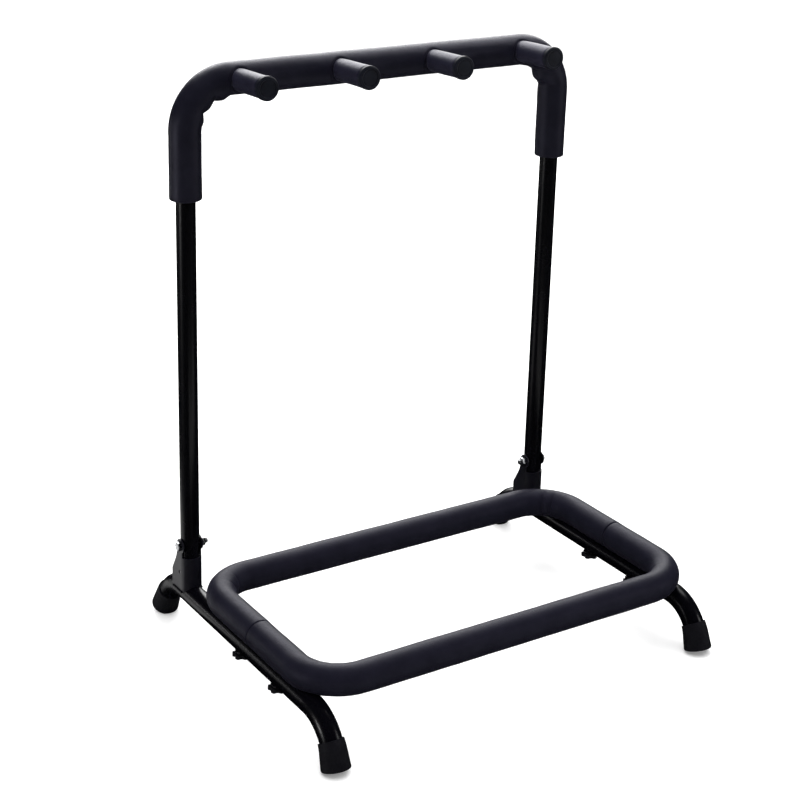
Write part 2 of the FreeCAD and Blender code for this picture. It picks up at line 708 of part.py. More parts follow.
def neck_frame_tube():
    name = "neck_frame_tube"
    drop = "(dims.bar_height - dims.frame_end_height)"
    body = frame_u(name, "dims.frame_tube_d / 2", FRAME_BORE_R, drop)
    spot = (("0", PIVOT_FROM_BAR),)
    cut_through(body, circles(body, f"{name}_holes", "YZ_Plane", ("dims.bolt_hole_d / 2",), spot))


PEG_X = ("-dims.outer_peg_x", "-dims.inner_peg_x", "dims.inner_peg_x", "dims.outer_peg_x")


def neck_frame_foam():
    """Foam over the top bar, both corners and the tops of the uprights, holed for the posts."""
    name = "neck_frame_foam"
    inner = "dims.frame_tube_d / 2 + dims.foam_play"
    drop = "(dims.neck_foam_drop + dims.neck_foam_shift)"
    body = frame_u(name, "dims.neck_foam_d / 2", inner, drop)
    left_end = "dims.neck_foam_shift - dims.neck_foam_drop"
    spare = box("-2 * dims.half_width", "-2 * dims.neck_foam_drop", "-dims.half_width / 2", left_end)
    cut_through(body, outline(body, f"{name}_left_end", "XZ_Plane", spare))
    spots = tuple((x, "0") for x in PEG_X)
    holes = circles(body, f"{name}_holes", "XZ_Plane", ("dims.post_hole_d / 2",), spots)
    cut_through(body, holes, symmetric=False, reverse=True)


def upright_bush(side):
    """Bush that keeps the upright from being crushed by the hinge bolt."""
    name = f"{side}_pivot_bush"
    body = new_body(name)
    radii = ("dims.bush_d / 2", "dims.bolt_hole_d / 2")
    section = circles(body, f"{name}_section", "YZ_Plane", radii)
    pad(body, section, "dims.bush_length", symmetric=True)
    put(body, x=SIDES[side], y="dims.upright_y", z="dims.pivot_height")


def upright_plug(side):
    """Plastic plug in the lower end of an upright."""
    name = f"{side}_upright_plug"
    body = new_body(name)
    stem = f"({FRAME_BORE_R} - dims.plug_play)"
    corners = (
        ("0", "-dims.plug_flange"),
        ("dims.frame_tube_d / 2", "-dims.plug_flange"),
        ("dims.frame_tube_d / 2", "0"),
        (stem, "0"),
        (stem, "dims.plug_depth"),
        ("0", "dims.plug_depth"),
    )
    turned(body, f"{name}_profile", corners)
    put(body, x=SIDES[side], y="dims.upright_y", z="dims.frame_end_height - dims.fit_gap")


# A peg's own frame: Z points along the peg, so it is tipped forward about X by nearly 90 degrees.
PEG_TIP = "90 - dims.peg_tilt"
SLEEVE_END = "(dims.peg_reach - dims.cap_length)"


def saddle_cut(body, name, radius):
    """Hollow the root of a peg's piece to the round bar that it stands on."""
    cut_through(body, circles(body, f"{name}_saddle", "YZ_Plane", (radius,)))


def peg(number, x):
    post = new_body(f"peg_{number}_post")
    bore = "(dims.post_d / 2 - dims.post_wall)"
    section = circles(post, f"{post.Name}_section", "XY_Plane", ("dims.post_d / 2", bore))
    pad(post, section, f"{SLEEVE_END} - dims.fit_gap")
    saddle_cut(post, post.Name, "dims.frame_tube_d / 2 + dims.fit_gap")

    sleeve = new_body(f"peg_{number}_sleeve")
    radii = ("dims.sleeve_d / 2", "dims.post_d / 2 + dims.foam_play")
    section = circles(sleeve, f"{sleeve.Name}_section", "XY_Plane", radii)
    pad(sleeve, section, f"{SLEEVE_END} - dims.fit_gap")
    saddle_cut(sleeve, sleeve.Name, "dims.neck_foam_d / 2 + dims.sleeve_gap")

    cap = new_body(f"peg_{number}_cap")
    rim = "dims.cap_d / 2"
    face = "dims.peg_reach"
    spigot = f"({bore} - dims.fit_gap)"
    corners = (
        ("0", f"{SLEEVE_END} - dims.spigot_length"),
        (spigot, f"{SLEEVE_END} - dims.spigot_length"),
        (spigot, SLEEVE_END),
        (rim, SLEEVE_END),
        (rim, f"{face} - dims.cap_edge"),
        (f"{rim} - dims.cap_edge", face),
        ("dims.cap_dish_d / 2", face),
        ("dims.cap_dish_d / 2 - dims.cap_dish", f"{face} - dims.cap_dish"),
        ("0", f"{face} - dims.cap_dish"),
    )
    turned(cap, f"{cap.Name}_profile", corners)
    for body in (post, sleeve, cap):
        put(body, x=x, y="dims.upright_y", z="dims.bar_height", tilt=PEG_TIP)


# ---- assembly -------------------------------------------------------------------------------

for side_name in SIDES:
    side_rail(side_name)
    hinge_bracket(side_name)
    hinge_bolt(side_name)
    hinge_nut(side_name)
    upright_bush(side_name)
    upright_plug(side_name)
    for end_name in ENDS:
        foot(end_name, side_name)
        knob_set(end_name, side_name)
for end_name in ENDS:
    support_tube(end_name)
    support_foam(end_name)
neck_frame_tube()
neck_frame_foam()
for peg_number, peg_x in enumerate(PEG_X, start=1):
    peg(peg_number, peg_x)

doc.recompute()
for item in doc.Objects:
    if "Invalid" in item.State or "Error" in item.State:
        raise RuntimeError(f"{item.Name} failed: {item.State}")

os.makedirs("parts", exist_ok=True)
for body in doc.findObjects("PartDesign::Body"):
    shape = body.Shape
    if shape.isNull() or not shape.isValid() or len(shape.Solids) != 1:
        raise RuntimeError(f"{body.Label} has no sound solid")
    shape.exportStep(f"parts/{body.Label}.step")
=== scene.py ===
"""Looks of a folding guitar rack: foam, coated tube, rubber, zinc and moulded plastic."""
import json
import math

import bpy
from mathutils import Matrix, Vector, noise


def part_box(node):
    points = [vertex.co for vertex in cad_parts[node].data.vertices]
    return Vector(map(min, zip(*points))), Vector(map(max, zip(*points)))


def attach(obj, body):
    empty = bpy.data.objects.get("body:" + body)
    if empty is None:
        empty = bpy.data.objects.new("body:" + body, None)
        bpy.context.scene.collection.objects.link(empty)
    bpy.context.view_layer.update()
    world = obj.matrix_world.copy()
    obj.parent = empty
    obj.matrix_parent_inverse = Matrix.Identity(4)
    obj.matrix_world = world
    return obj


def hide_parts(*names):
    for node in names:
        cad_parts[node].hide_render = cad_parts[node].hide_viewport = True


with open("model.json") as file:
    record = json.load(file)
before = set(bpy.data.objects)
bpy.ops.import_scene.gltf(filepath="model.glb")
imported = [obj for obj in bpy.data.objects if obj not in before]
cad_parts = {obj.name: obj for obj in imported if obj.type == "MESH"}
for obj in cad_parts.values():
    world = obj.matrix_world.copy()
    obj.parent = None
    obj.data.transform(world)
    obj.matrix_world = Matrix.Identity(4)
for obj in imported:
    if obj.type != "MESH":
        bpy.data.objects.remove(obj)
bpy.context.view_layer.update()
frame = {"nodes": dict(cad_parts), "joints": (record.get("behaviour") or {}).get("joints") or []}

MM = 0.001


# ---- places taken from the frame -------------------------------------------------------------

def middle(node):
    low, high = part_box(node)
    return (low + high) / 2


def extent(node):
    low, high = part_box(node)
    return high - low


FRAME_FOAM_LOW, FRAME_FOAM_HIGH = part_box("neck_frame_foam")
FRAME_R = extent("neck_frame_foam").y / 2
FRAME_Y = middle("neck_frame_foam").y
FRAME_X = FRAME_FOAM_HIGH.x - FRAME_R
BAR_Z = FRAME_FOAM_HIGH.z - FRAME_R
FRAME_BEND = 53 * MM
FRAME_FOAM_STEP = 7 * MM  # how much lower the foam ends on the right upright

PAD_FOAM_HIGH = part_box("front_support_foam")[1]
PAD_R = 17.25 * MM
PAD_X = PAD_FOAM_HIGH.x - PAD_R
PAD_Z = PAD_FOAM_HIGH.z - PAD_R
PAD_BEND = 51 * MM
SEAM_Y = PAD_FOAM_HIGH.y + 0.3 * MM  # where the front and rear foams meet, over each rail

TUBE_R = 11 * MM
FOAM_BORE = TUBE_R + 0.2 * MM
RAIL_R = 12.5 * MM
RAIL_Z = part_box("left_side_rail")[1].z - RAIL_R

PEGS = (1, 2, 3, 4)
PEG_X = [middle(f"peg_{number}_cap").x for number in PEGS]
SLEEVE_R = extent("peg_1_sleeve").x / 2
SLEEVE_END = 72.3 * MM  # from the bar's axis to the sleeve's outer end
SLEEVE_BORE = 6.1 * MM
PEG_RISE = math.radians(2)

HINGE = Vector(next(j["pos_m"] for j in frame["joints"] if j["name"] == "neck_fold"))
BOLT_R = 2.96 * MM


# ---- materials -------------------------------------------------------------------------------

class Nodes:
    """Short way to build a material's nodes."""

    def __init__(self, name):
        self.material = bpy.data.materials.new(name)
        self.material.use_nodes = True
        self.tree = self.material.node_tree
        self.shader = self.tree.nodes["Principled BSDF"]
        self.place = self.tree.nodes.new("ShaderNodeTexCoord").outputs["Object"]

    def link(self, source, target):
        self.tree.links.new(source, target)

    def noise(self, scale, detail=3, roughness=0.5):
        node = self.tree.nodes.new("ShaderNodeTexNoise")
        node.inputs["Scale"].default_value = scale
        node.inputs["Detail"].default_value = detail
        node.inputs["Roughness"].default_value = roughness
        self.link(self.place, node.inputs["Vector"])
        return node.outputs["Fac"]

    def cells(self, scale):
        node = self.tree.nodes.new("ShaderNodeTexVoronoi")
        node.inputs["Scale"].default_value = scale
        self.link(self.place, node.inputs["Vector"])
        return node.outputs["Distance"]

    def remap(self, value, low, high, to_low, to_high):
        node = self.tree.nodes.new("ShaderNodeMapRange")
        node.inputs["From Min"].default_value = low
        node.inputs["From Max"].default_value = high
        node.inputs["To Min"].default_value = to_low
        node.inputs["To Max"].default_value = to_high
        self.link(value, node.inputs["Value"])
        return node.outputs["Result"]

    def ramp(self, value, stops):
        node = self.tree.nodes.new("ShaderNodeValToRGB")
        points = node.color_ramp.elements
        while len(points) < len(stops):
            points.new(0.5)
        for point, (position, colour) in zip(points, stops):
            point.position = position
            point.color = (*colour, 1)
        self.link(value, node.inputs["Fac"])
        return node.outputs["Color"]

    def mix(self, amount, first, second):
        node = self.tree.nodes.new("ShaderNodeMix")
        node.data_type = "RGBA"
        self.link(amount, node.inputs["Factor"])
        for socket, value in ((node.inputs[6], first), (node.inputs[7], second)):
            if isinstance(value, tuple):
                socket.default_value = (*value, 1)
            else:
                self.link(value, socket)
        return node.outputs[2]

    def edges(self, low, high):
        """1 on convex edges, 0 on flats: rubbed wear on the coats, a painted rim highlight on the
        mouldings.
        """
        node = self.tree.nodes.new("ShaderNodeNewGeometry")
        return self.remap(node.outputs["Pointiness"], low, high, 0, 1)

    def bump(self, height, distance, strength, below=None):
        node = self.tree.nodes.new("ShaderNodeBump")
        node.inputs["Distance"].default_value = distance
        node.inputs["Strength"].default_value = strength
        self.link(height, node.inputs["Height"])
        if below:
            self.link(below, node.inputs["Normal"])
        return node.outputs["Normal"]

    def finish(self, colour, roughness, normal, **settings):
        for name, value in (("Base Color", colour), ("Roughness", roughness), ("Normal", normal)):
            self.link(value, self.shader.inputs[name])
        for name, value in settings.items():
            self.shader.inputs[name.replace("_", " ")].default_value = value
        return self.material


def foam_material(name, painted_brightness, rough, specular):
    """Closed-cell foam with a smooth skin: faint mottling, fine cells, a pale bloom at grazing; the
    first number scales its colour as painted light, so one foam has lit and shaded copies.
    """
    n = Nodes(name)
    # Painted light: both colours are scaled by the copy's brightness factor, lighter for foam that
    # stands in for lit foam and darker for shaded foam.
    base = tuple(painted_brightness * c for c in (0.0058, 0.0056, 0.0108))
    pale = tuple(painted_brightness * c for c in (0.0086, 0.0083, 0.0152))
    mottle = n.noise(38, 4, 0.55)
    colour = n.ramp(mottle, ((0.3, base), (0.72, pale)))
    rough = n.remap(n.noise(420, 3), 0.3, 0.7, *rough)
    cells = n.bump(n.cells(1500), 0.00022, 0.5)
    skin = n.bump(n.noise(130, 4), 0.0005, 0.25, below=cells)
    return n.finish(
        colour, rough, skin,
        Sheen_Weight=0.03, Sheen_Roughness=0.3, Sheen_Tint=(0.7, 0.68, 0.95, 1),
        Specular_IOR_Level=specular, Specular_Tint=(0.8, 0.78, 1.0, 1),
    )


def coat_material(name, base, rough, peel, specular, sharp):
    """Powder coat: orange peel, dust-fine colour change and slightly rubbed edges.

    sharp is how convex an edge must be before it counts as rubbed; without it nothing is rubbed.
    """
    n = Nodes(name)
    worn = tuple(4 * c + 0.006 for c in base)
    spots = n.noise(70, 5, 0.6)
    shade = n.ramp(spots, ((0.35, base), (0.75, tuple(1.25 * c for c in base))))
    colour = n.mix(n.edges(sharp, sharp + 0.07), shade, worn) if sharp else shade
    roughness = n.remap(n.noise(40, 3), 0.3, 0.7, rough * 0.94, rough * 1.08)
    peeled = n.bump(n.noise(180, 1), 0.00001, peel)
    return n.finish(colour, roughness, peeled, Specular_IOR_Level=specular)


def rubber_material(name):
    n = Nodes(name)
    dark, dusty = (0.0022, 0.0021, 0.0040), (0.0050, 0.0048, 0.0074)
    colour = n.ramp(n.noise(90, 5, 0.6), ((0.3, dark), (0.75, dusty)))
    roughness = n.remap(n.noise(300, 3), 0.3, 0.7, 0.6, 0.8)
    grain = n.bump(n.noise(1800, 3, 0.7), 0.0002, 0.4)
    return n.finish(colour, roughness, grain, Specular_IOR_Level=0.22)


def plastic_material(name, base=(0.0036, 0.0042, 0.0072), rough=0.4):
    n = Nodes(name)
    pale = tuple(2.2 * c for c in base)
    # Convex edges take the pale colour: a painted rim highlight on the caps and knobs.
    colour = n.mix(n.edges(0.53, 0.62), n.ramp(n.noise(60, 4), ((0.3, base), (0.8, pale))), pale)
    roughness = n.remap(n.noise(500, 3), 0.3, 0.7, rough * 0.85, rough * 1.25)
    spark = n.bump(n.noise(2200, 2, 0.6), 0.00012, 0.5)
    return n.finish(colour, roughness, spark, Specular_IOR_Level=0.2)


def zinc_material(name):
    """Bright zinc plate with a faint spangle and darker hollows."""
    n = Nodes(name)
    spangle = n.ramp(n.noise(350, 5, 0.7), ((0.3, (0.50, 0.51, 0.53)), (0.7, (0.82, 0.83, 0.84))))
    colour = n.mix(n.edges(0.40, 0.50), (0.22, 0.22, 0.23), spangle)
    roughness = n.remap(n.noise(600, 4), 0.3, 0.7, 0.18, 0.38)
    fine = n.bump(n.noise(1500, 3), 0.0001, 0.4)
    return n.finish(colour, roughness, fine, Metallic=1.0)


def brass_material(name):
    n = Nodes(name)
    colour = n.ramp(n.noise(300, 4), ((0.3, (0.45, 0.33, 0.14)), (0.7, (0.68, 0.52, 0.25))))
    roughness = n.remap(n.noise(500, 3), 0.3, 0.7, 0.25, 0.45)
    return n.finish(colour, roughness, n.bump(n.noise(1200, 3), 0.0001, 0.4), Metallic=1.0)


# One foam in three copies: the peg sleeves are painted 1.8 times as light as the pads (painted light)
# and the neck frame's foam a little darker (painted shade).
NECK_FOAM = foam_material("neck_foam_skin", 0.95, (0.34, 0.45), 0.3)
PAD_FOAM = foam_material("pad_foam_skin", 1.0, (0.38, 0.48), 0.14)
PEG_FOAM = foam_material("peg_foam_skin", 1.8, (0.34, 0.45), 0.3)
GLOSS = coat_material("gloss_black_coat", (0.0011, 0.0010, 0.0020), 0.26, 0.1, 0.35, None)
SATIN = coat_material("satin_black_coat", (0.0050, 0.0047, 0.0085), 0.36, 0.9, 0.5, 0.72)
RUBBER = rubber_material("foot_rubber_skin")
PLASTIC = plastic_material("black_moulding")
KNOB = plastic_material("knob_moulding", (0.003, 0.003, 0.004), 0.5)
ZINC = zinc_material("zinc_plate")
BRASS = brass_material("insert_brass")

FINISHES = (
    ("_foot", RUBBER),
    ("_bracket", SATIN),
    ("_rail", GLOSS),
    ("_tube", GLOSS),
    ("_post", GLOSS),
    ("_bolt", ZINC),
    ("_nut", ZINC),
    ("_stud", ZINC),
    ("_washer", ZINC),
    ("_insert", BRASS),
    ("_knob", KNOB),
    ("_cap", PLASTIC),
    ("_plug", PLASTIC),
    ("_bush", PLASTIC),
    ("_foam", PAD_FOAM),
    ("_sleeve", PEG_FOAM),
)

for node, piece in frame["nodes"].items():
    finish = next(finish for ending, finish in FINISHES if node.endswith(ending))
    piece.data.materials.clear()
    piece.data.materials.append(finish)


# ---- mesh helpers ----------------------------------------------------------------------------

def new_piece(name, verts, faces, material, body):
    mesh = bpy.data.meshes.new(name)
    mesh.from_pydata([tuple(v) for v in verts], [], faces)
    mesh.update()
    mesh.materials.append(material)
    mesh.shade_smooth()
    piece = bpy.data.objects.new(name, mesh)
    bpy.context.scene.collection.objects.link(piece)
    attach(piece, body)
    return piece


def skin_rings(rings, closed=True):
    """Faces between successive rings of equal size; the last joins the first if closed."""
    verts = [v for ring in rings for v in ring]
    around = len(rings[0])
    faces = []
    pairs = list(range(len(rings) - 1)) + ([len(rings) - 1] if closed else [])
    for i in pairs:
        j = (i + 1) % len(rings)
        for k in range(around):
            m = (k + 1) % around
            faces.append((i * around + k, j * around + k, j * around + m, i * around + m))
    return verts, faces


def spread(start, end, step):
    """Even places from start to end, about a step apart."""
    count = max(2, round(abs(end - start) / step) + 1)
    return [start + (end - start) * i / (count - 1) for i in range(count)]


def steps(start, end, coarse, fine, near):
    """Places from start to end: coarse steps, but fine ones within reach of the listed places."""
    reach = 18 * MM
    places = [start]
    while places[-1] < end:
        close = any(abs(places[-1] - place) < reach for place in near)
        places.append(min(end, places[-1] + (fine if close else coarse)))
    return places


def circle(count):
    """Angles evenly round a circle."""
    return [2 * math.pi * k / count for k in range(count)]


def spoke(angle, first, second):
    """Unit vector turned by an angle from the first of two square unit vectors to the second."""
    return math.cos(angle) * first + math.sin(angle) * second


def grain(point, scale, seed):
    """Smooth noise, about -1 to 1, at a point in metres."""
    return noise.noise(point * scale + Vector((seed * 7.3, seed * 3.1, seed * 5.7)))


# ---- foam on the U-shaped tubes --------------------------------------------------------------

class Bend:
    """Centreline of a U: a bar along X and two legs, joined by round corners."""

    def __init__(self, origin, leg, half_width, radius, left_reach, right_reach):
        self.origin = Vector(origin)
        self.leg = Vector(leg)
        self.across = Vector((1, 0, 0))
        self.normal = self.across.cross(self.leg)
        self.straight = half_width - radius
        self.half_width = half_width
        self.radius = radius
        self.corner = radius * math.pi / 2
        self.left_end = self.straight + self.corner + left_reach - radius
        self.right_end = self.straight + self.corner + right_reach - radius

    def at(self, s):
        """Centre, outward normal and turn (0 on the bar, 1 on a leg) at a distance from the middle."""
        side = 1 if s >= 0 else -1
        run = abs(s)
        turn = min(max((run - self.straight) / self.corner, 0), 1)
        angle = turn * math.pi / 2
        if turn == 0:
            x, y = run, 0
        elif turn == 1:
            x, y = self.half_width, self.radius + run - self.straight - self.corner
        else:
            x = self.straight + self.radius * math.sin(angle)
            y = self.radius * (1 - math.cos(angle))
        centre = self.origin + side * x * self.across + y * self.leg
        outward = side * math.sin(angle) * self.across - math.cos(angle) * self.leg
        return centre, outward, turn


def foam_on(bend, radius, folds, seed, shape, near=()):
    """Foam tube on a U, with an uneven skin, folds on the inside of its corners and cut ends.

    Folds are (side, turn, height in mm, width) on the inside of a corner: a negative height is a
    sharp crease and a positive one a round lump. shape is a last adjustment of a skin point, and
    near lists the places along the bar that need fine steps.
    """
    edge = 1.5 * MM
    coarse, fine, corner_step, bore_step = 4 * MM, 0.8 * MM, 0.9 * MM, 9 * MM
    swell, ripple, squeeze = 0.28 * MM, 0.10 * MM, 0.5 * MM
    bore_start = 0.2 * MM
    angles = circle(96)

    def skin(s, shrink):
        centre, outward, turn = bend.at(s)
        side = 1 if s >= 0 else -1
        ring = []
        bent = math.sin(math.pi * turn) if 0 < turn < 1 else 0
        for angle in angles:
            direction = spoke(angle, outward, bend.normal)
            inner, outer = max(0.0, -math.cos(angle)), max(0.0, math.cos(angle))
            r = radius - shrink
            spot = centre + direction * r
            r += swell * grain(spot, 26, seed) + ripple * grain(spot, 95, seed + 1)
            r += bent * squeeze * (inner ** 2 - outer ** 2)
            for fold_side, at, height, width in folds:
                if fold_side != side:
                    continue
                drift = 0.02 * math.sin(angle * 2 + at * 40)
                away = abs(turn - at - drift) / width
                form = math.exp(-away) if height < 0 else math.exp(-away * away)
                r += height * MM * form * inner ** 1.3
            point = centre + direction * r
            ring.append(shape(point, centre))
        return ring

    def inside(s):
        centre, outward, _ = bend.at(s)
        return [centre + FOAM_BORE * spoke(angle, outward, bend.normal) for angle in angles]

    first, last = -bend.left_end, bend.right_end
    run = spread(first + edge, -bend.straight - bend.corner, coarse)
    run += spread(-bend.straight - bend.corner, -bend.straight, corner_step)[1:]
    run += steps(-bend.straight, bend.straight, coarse, fine, near)[1:]
    run += spread(bend.straight, bend.straight + bend.corner, corner_step)[1:]
    run += spread(bend.straight + bend.corner, last - edge, coarse)[1:]
    rounding = [(edge * (1 - math.cos(a)), edge * math.sin(a)) for a in (1.35, 1.0, 0.65, 0.3)]
    rings = [skin(first + edge - along, shrink) for shrink, along in rounding]
    rings += [skin(s, 0) for s in run]
    rings += [skin(last - edge + along, shrink) for shrink, along in reversed(rounding)]
    rings += [inside(s) for s in spread(last - bore_start, first + bore_start, bore_step)]
    return skin_rings(rings)


def off_rail(point, centre):
    """Where foam lies on a side rail it is pressed to the rail and swells beside it."""
    reach, swell_at, swell_width, swell_height = 26 * MM, RAIL_R + 2 * MM, 2.2 * MM, 0.9 * MM
    full_beside = 9 * MM
    limit = RAIL_R + 0.12 * MM
    axis_x = math.copysign(PAD_X, point.x)
    dx, dz = point.x - axis_x, point.z - RAIL_Z
    away = math.hypot(dx, dz)
    if away < reach and point.z < centre.z:
        swell = math.exp(-((away - swell_at) / swell_width) ** 2)
        beside = min(1.0, abs(dx) / full_beside)
        sideways = Vector((point.x - centre.x, 0, 0)).normalized()
        point = point + sideways * swell * beside * swell_height
        dx = point.x - axis_x
        away = math.hypot(dx, dz)
    if away < limit:
        point = Vector((axis_x + dx * limit / away, point.y, RAIL_Z + dz * limit / away))
    return point


def round_pegs(point, centre):
    """Around the root of each peg's sleeve the foam is pressed into a narrow groove."""
    if point.y > FRAME_Y:
        return point
    depth = width = 1.3 * MM
    away = min(math.hypot(point.x - x, point.z - BAR_Z) for x in PEG_X)
    sunk = depth * math.exp(-((away - SLEEVE_R) / width) ** 2)
    return point + (centre - point).normalized() * sunk


def make_frame_foam():
    """Foam over the neck frame's bar and down both uprights; it is bunched up in the bends."""
    right_reach = BAR_Z - FRAME_FOAM_LOW.z
    left_reach = right_reach - FRAME_FOAM_STEP
    origin, down = (0, FRAME_Y, BAR_Z), (0, 0, -1)
    bend = Bend(origin, down, FRAME_X, FRAME_BEND, left_reach, right_reach)
    folds = (
        (-1, 0.17, 3.4, 0.14),
        (-1, 0.39, -3.2, 0.055),
        (-1, 0.52, 0.8, 0.08),
        (-1, 0.67, -3.6, 0.055),
        (-1, 0.80, 1.4, 0.08),
        (1, 0.12, 0.8, 0.12),
        (1, 0.47, -2.2, 0.05),
        (1, 0.66, 3.4, 0.11),
        (1, 0.88, -1.6, 0.05),
    )
    verts, faces = foam_on(bend, FRAME_R, folds, 3, round_pegs, PEG_X)
    piece = new_piece("neck_foam_skin", verts, faces, NECK_FOAM, "neck_frame")
    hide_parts("neck_frame_foam")


def make_pad_foam(end):
    """Foam of one support tube: the bar and, over the rails, both legs up to the seam."""
    seam_gap = 0.25 * MM
    low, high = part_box(f"{end}_support_foam")
    toward = 1 if end == "front" else -1
    bar_y = low.y + PAD_R if end == "front" else high.y - PAD_R
    reach = toward * (SEAM_Y - bar_y) - seam_gap
    bend = Bend((0, bar_y, PAD_Z), (0, toward, 0), PAD_X, PAD_BEND, reach, reach)
    folds = {
        "rear": (
            (1, 0.43, -2.8, 0.045),
            (1, 0.52, 1.0, 0.06),
            (1, 0.62, -2.4, 0.045),
            (-1, 0.38, -0.8, 0.05),
            (-1, 0.60, -0.7, 0.05),
        ),
        "front": ((1, 0.50, -0.7, 0.05), (-1, 0.42, -0.8, 0.05), (-1, 0.64, -0.6, 0.05)),
    }[end]
    verts, faces = foam_on(bend, PAD_R, folds, 17 + toward, off_rail)
    piece = new_piece(f"{end}_pad_foam_skin", verts, faces, PAD_FOAM, "base")
    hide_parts(f"{end}_support_foam")


make_frame_foam()
for end_name in ("front", "rear"):
    make_pad_foam(end_name)


# ---- peg sleeves -----------------------------------------------------------------------------

def make_sleeve(number):
    """Foam sleeve of a peg: squeezed at its root and its cap, its root fitted to the bar's foam."""
    root = Vector((PEG_X[number - 1], FRAME_Y, BAR_Z))
    axis = Vector((0, -math.cos(PEG_RISE), math.sin(PEG_RISE)))
    side = Vector((1, 0, 0))
    up = axis.cross(side)
    seat = FRAME_R - 0.1 * MM
    lump = 0.5 * MM
    root_squeeze, root_length = 0.6 * MM, 3 * MM
    cap_groove, groove_width = 1.1 * MM, 1.3 * MM
    seed = 30 + number
    angles = circle(56)

    def place(angle, t):
        """A ray from the axis: its start, its direction and its distance from the sleeve's root."""
        near = math.sqrt(seat ** 2 - (SLEEVE_R * math.sin(angle)) ** 2)
        from_root = (SLEEVE_END - near) * t
        out = spoke(angle, side, up)
        return root + axis * (near + from_root), out, from_root

    def ring(t, shrink):
        points = []
        for angle in angles:
            spot, out, from_root = place(angle, t)
            to_end = SLEEVE_END - (spot - root).length
            r = SLEEVE_R - shrink
            r += lump * grain(spot + out * SLEEVE_R, 24, seed)
            r -= root_squeeze * math.exp(-(from_root / root_length) ** 2)
            r -= cap_groove * math.exp(-(to_end / groove_width) ** 2)
            points.append(spot + out * r)
        return points

    def inside(t):
        points = []
        for angle in angles:
            spot, out, _ = place(angle, t)
            points.append(spot + out * SLEEVE_BORE)
        return points

    edge = ((0.0, 1.7 * MM), (0.004, 0.8 * MM), (0.012, 0.25 * MM))
    rings = [ring(t, shrink) for t, shrink in edge]
    rings += [ring(t, 0) for t in spread(0.03, 0.97, 0.03)]
    rings += [ring(1 - t, shrink) for t, shrink in reversed(edge)]
    rings += [inside(t) for t in (0.999, 0.5, 0.001)]
    verts, faces = skin_rings(rings)
    piece = new_piece(f"peg_{number}_foam_skin", verts, faces, PEG_FOAM, "neck_frame")
    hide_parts(f"peg_{number}_sleeve")


for peg_number in PEGS:
    make_sleeve(peg_number)


# ---- welds and threads -----------------------------------------------------------------------

def frame_along(direction):
    """Two unit vectors square to a direction and to each other."""
    aside = direction.cross(Vector((0, 0, 1)) if abs(direction.z) < 0.9 else Vector((1, 0, 0)))
    aside.normalize()
    return aside, direction.cross(aside).normalized()


def weld_bead(name, start, end, radius, seed):
    """Rippled bead of weld between two points, painted over with the frame."""
    axis = end - start
    length = axis.length
    direction = axis.normalized()
    aside, above = frame_along(direction)
    around = 14
    ripple, rounded_end, unevenness = 1.6 * MM, 1.5 * MM, 0.15 * MM
    rings = []
    for along in spread(0, length, 0.25 * MM):
        from_end = max(0, min(along, length - along))
        taper = min(1, math.sqrt(from_end / rounded_end) + 0.05)
        phase = (along / ripple) % 1
        r = radius * taper * (0.86 + 0.2 * math.sqrt(phase))
        ring = []
        for angle in circle(around):
            out = spoke(angle, aside, above)
            spot = start + direction * along + out * r
            ring.append(spot + out * unevenness * grain(spot, 700, seed))
        rings.append(ring)
    verts, faces = skin_rings(rings, closed=False)
    faces.append(tuple(range(around)))
    faces.append(tuple(reversed(range(len(verts) - around, len(verts)))))
    new_piece(name, verts, faces, GLOSS, "base")


def bolt_thread(name, tip, inward, length, radius, bevel, body):
    """Rolled thread from the bevelled tip of a bolt or stud: one ridge that winds along it."""
    pitch, height, run_in = 1.0 * MM, 0.28 * MM, 0.9 * MM
    aside, above = frame_along(inward)
    rings = []
    for along in spread(0.1 * MM, length, 0.12 * MM):
        ring = []
        for angle in circle(40):
            phase = (along / pitch + angle / (2 * math.pi)) % 1
            ridge = height * (1 - abs(2 * phase - 1)) * min(1, along / run_in)
            r = min(radius + ridge, radius - bevel + along)
            ring.append(tip + inward * along + spoke(angle, aside, above) * r)
        rings.append(ring)
    verts, faces = skin_rings(rings, closed=False)
    new_piece(name, verts, faces, ZINC, body)


def make_bracket_details(side):
    """Weld beads along the two cheeks of a bracket and the thread on its pivot bolt."""
    low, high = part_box(f"{side}_hinge_bracket")
    off_cheek, front_gap, rear_gap, weld_r = 0.2 * MM, 9 * MM, 1.5 * MM, 1.5 * MM
    foot_z = low.z + 0.1 * MM
    for place, x, outward in (("outer", low.x, -1), ("inner", high.x, 1)):
        start = Vector((x + outward * off_cheek, low.y + front_gap, foot_z))
        end = Vector((x + outward * off_cheek, high.y - rear_gap, foot_z))
        weld_bead(f"{side}_bracket_{place}_weld", start, end, weld_r, 50 + outward)
    bolt_low, bolt_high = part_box(f"{side}_pivot_bolt")
    nut_low, nut_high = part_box(f"{side}_pivot_nut")
    if side == "left":
        tip_x, inward, length = bolt_high.x, Vector((-1, 0, 0)), bolt_high.x - nut_high.x
    else:
        tip_x, inward, length = bolt_low.x, Vector((1, 0, 0)), nut_low.x - bolt_low.x
    tip = Vector((tip_x, HINGE.y, HINGE.z))
    bolt_thread(f"{side}_bolt_thread", tip, inward, length, BOLT_R, 0.6 * MM, "base")


def make_stud_thread(knob):
    """Thread on a knob's stud, from its tip down to the knob."""
    low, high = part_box(f"{knob}_stud")
    centre = (low + high) / 2
    tip = Vector((centre.x, centre.y, high.z))
    length = high.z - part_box(knob)[1].z
    radius = (high.x - low.x) / 2 + 0.01 * MM
    down = Vector((0, 0, -1))
    bolt_thread(f"{knob}_stud_thread", tip, down, length, radius, 0.7 * MM, f"{knob}_turn")


for side_name in ("left", "right"):
    make_bracket_details(side_name)
    for end_name in ("front", "rear"):
        make_stud_thread(f"{end_name}_{side_name}_knob")


# ---- stage, light and camera -----------------------------------------------------------------

